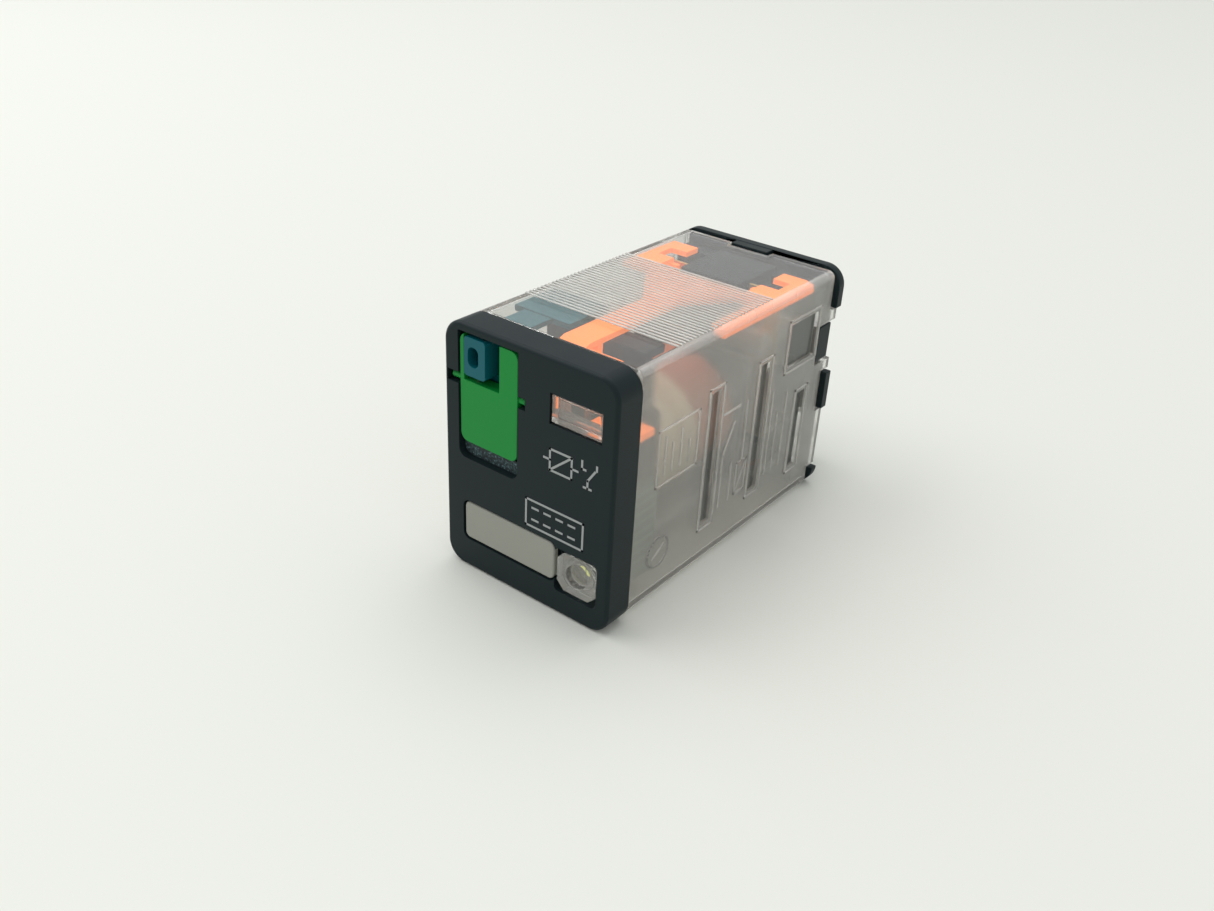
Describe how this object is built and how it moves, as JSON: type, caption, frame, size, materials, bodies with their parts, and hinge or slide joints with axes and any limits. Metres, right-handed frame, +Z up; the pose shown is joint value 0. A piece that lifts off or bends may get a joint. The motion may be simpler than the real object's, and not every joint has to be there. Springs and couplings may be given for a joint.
{
  "type": "plug-in control relay",
  "caption": "Plug-in industrial control relay with a clear cover, test button, locking door, status window, lamp and flat blade terminals.",
  "frame": {"origin": "middle of the bottom edge plane it lies on, below the centre of the body", "axes": "+X across the front to the right seen from the front, +Y from the front bezel to the blade tips, +Z up, towards the edge with the grip ribs"},
  "size_m": [0.021, 0.046, 0.027],
  "materials": {
    "slate_plastic": "satin",
    "clear_plastic": "clear, lightly frosted",
    "green_plastic": "satin",
    "teal_plastic": "satin",
    "grey_plastic": "matte",
    "lens_plastic": "clear, polished",
    "lamp_epoxy": "clear",
    "green_board": "satin",
    "tan_ceramic": "matte",
    "black_plastic": "satin",
    "copper_wire": "enamelled copper",
    "cream_tape": "matte",
    "dull_steel": "plated",
    "spring_brass": "rolled",
    "silver_alloy": "polished",
    "tinned_brass": "tinned",
    "orange_plastic": "satin"
  },
  "bodies": {
    "housing": {"front_bezel": "slate_plastic", "clear_cover": "clear_plastic", "base": "slate_plastic", "indicator_window": "lens_plastic", "led_lens": "lens_plastic", "led_lamp": "lamp_epoxy", "led_board": "green_board", "led_resistor": "tan_ceramic", "suppression_diode": "black_plastic", "coil_bobbin": "black_plastic", "coil_winding": "copper_wire", "coil_tape": "cream_tape", "core": "dull_steel", "yoke": "dull_steel", "nc_contact_left": "silver_alloy", "no_contact_left": "silver_alloy", "nc_blade_left": "tinned_brass", "no_blade_left": "tinned_brass", "common_blade_left": "tinned_brass", "coil_blade_left": "tinned_brass", "coil_lead_left": "copper_wire", "nc_contact_right": "silver_alloy", "no_contact_right": "silver_alloy", "nc_blade_right": "tinned_brass", "no_blade_right": "tinned_brass", "common_blade_right": "tinned_brass", "coil_blade_right": "tinned_brass", "coil_lead_right": "copper_wire"},
    "lock_door": {"lock_door": "green_plastic"},
    "test_button": {"test_button": "teal_plastic"},
    "legend_plate": {"legend_plate": "grey_plastic"},
    "armature": {"armature": "dull_steel", "armature_spring": "spring_brass"},
    "contact_card": {"contact_card": "orange_plastic"},
    "indicator_flag": {"indicator_flag": "orange_plastic"},
    "moving_contact_left": {"moving_spring_left": "spring_brass", "moving_contact_left": "silver_alloy"},
    "moving_contact_right": {"moving_spring_right": "spring_brass", "moving_contact_right": "silver_alloy"}
  },
  "joints": [
    {"name": "test_button_press", "type": "slide", "parent": "housing", "child": "test_button", "axis": [0, 1, 0], "range_m": [0, 0.0015], "stiffness_N_per_m": 400},
    {"name": "lock_door_swing", "type": "hinge", "parent": "housing", "child": "lock_door", "pos_m": [-0.00485, -0.02235, 0.0212], "axis": [-1, 0, 0], "range_deg": [0, 90]},
    {"name": "legend_plate_pull", "type": "slide", "parent": "housing", "child": "legend_plate", "axis": [0, -1, 0], "range_m": [0, 0.006]},
    {"name": "armature_tilt", "type": "hinge", "parent": "housing", "child": "armature", "pos_m": [0, -0.0156, 0.0045], "axis": [-1, 0, 0], "range_deg": [0, 4.48]},
    {"name": "contact_card_slide", "type": "slide", "parent": "housing", "child": "contact_card", "axis": [0, 1, 0], "range_m": [0, 0.0016]},
    {"name": "indicator_flag_turn", "type": "hinge", "parent": "housing", "child": "indicator_flag", "pos_m": [0.0059, -0.0185, 0.01865], "axis": [1, 0, 0], "range_deg": [0, 72]},
    {"name": "moving_contact_left_bend", "type": "hinge", "parent": "housing", "child": "moving_contact_left", "pos_m": [-0.0057, 0.0079, 0.0102], "axis": [-1, 0, 0], "range_deg": [0, 5.95]},
    {"name": "moving_contact_right_bend", "type": "hinge", "parent": "housing", "child": "moving_contact_right", "pos_m": [0.0057, 0.0079, 0.0102], "axis": [-1, 0, 0], "range_deg": [0, 5.95]}
  ],
  "couplings": [
    {"joint": "armature_tilt", "follows": "test_button_press", "rad_per_m": 51.02},
    {"joint": "contact_card_slide", "follows": "test_button_press", "ratio": 1},
    {"joint": "indicator_flag_turn", "follows": "test_button_press", "rad_per_m": 810},
    {"joint": "moving_contact_left_bend", "follows": "test_button_press", "rad_per_m": 68.027},
    {"joint": "moving_contact_right_bend", "follows": "test_button_press", "rad_per_m": 68.027}
  ]
}
